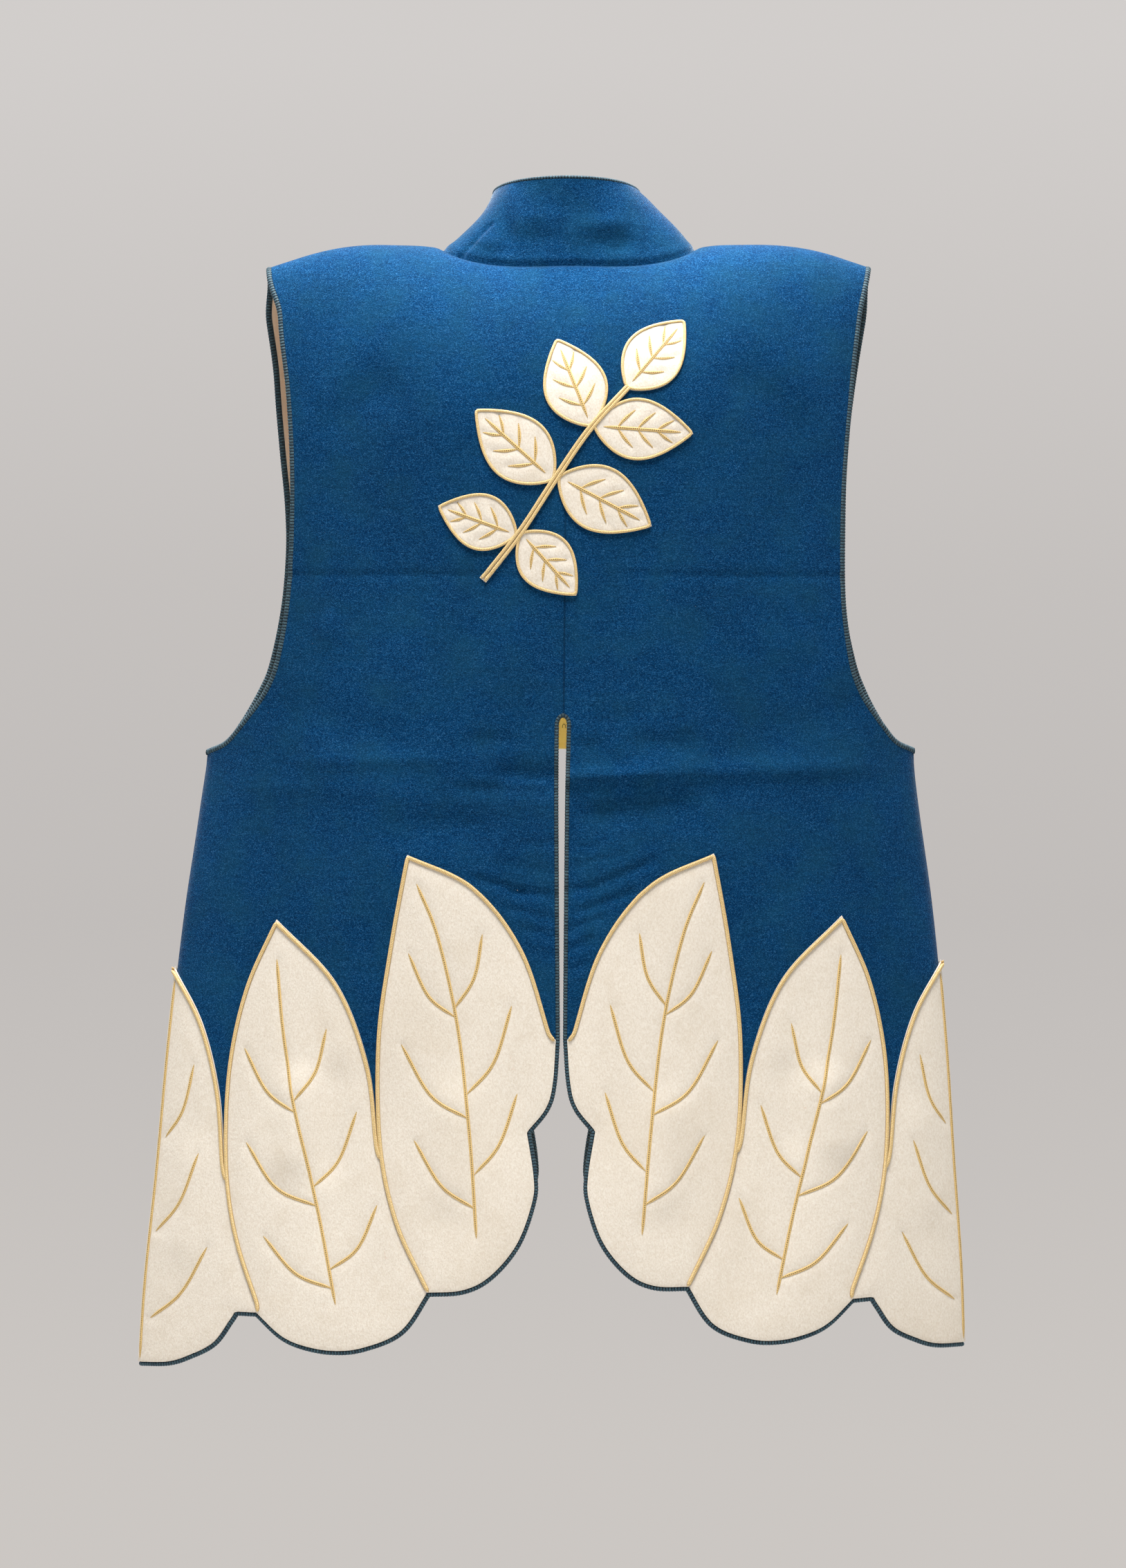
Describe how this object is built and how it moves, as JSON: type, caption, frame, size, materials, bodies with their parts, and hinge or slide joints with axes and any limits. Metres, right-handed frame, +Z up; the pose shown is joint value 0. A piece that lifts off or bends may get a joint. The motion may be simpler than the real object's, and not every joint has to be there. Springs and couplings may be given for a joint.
{
  "type": "jinbaori",
  "caption": "Sleeveless wool surcoat filled out as worn, with a stand collar, back slit, scalloped hem and raised leaf applique.",
  "frame": {"origin": "middle of the shoulder ridge, just below the neck, where the wearer's neck and shoulders carry the garment", "axes": "+Z up, +Y towards the wearer's front, +X towards the wearer's right, so the pictured back faces -Y"},
  "size_m": [0.6321, 0.2032, 0.9021],
  "materials": {
    "wool": "fulled blue wool cloth with a short matt nap",
    "lining": "thin old-gold silk lining with a soft sheen",
    "felt": "cream fulled wool applique, matt",
    "cord": "gold braided silk cord and gold running stitches",
    "edging": "navy corded silk stitches laid side by side"
  },
  "bodies": {
    "root": {"back_left": "wool", "lining_back_left": "lining", "leaf_inner_back_left": "felt", "leaf_middle_back_left": "felt", "leaf_outer_back_left": "felt", "back_right": "wool", "lining_back_right": "lining", "leaf_inner_back_right": "felt", "leaf_middle_back_right": "felt", "leaf_outer_back_right": "felt", "front_left": "wool", "lining_front_left": "lining", "leaf_inner_front_left": "felt", "leaf_middle_front_left": "felt", "leaf_outer_front_left": "felt", "front_right": "wool", "lining_front_right": "lining", "leaf_inner_front_right": "felt", "leaf_middle_front_right": "felt", "leaf_outer_front_right": "felt", "leaf_spray": "felt", "collar": "wool", "front_underflap": "lining", "edging_left": "edging", "edging_right": "edging", "edging_armhole_left": "edging", "edging_armhole_right": "edging", "edging_collar": "edging"}
  },
  "joints": []
}
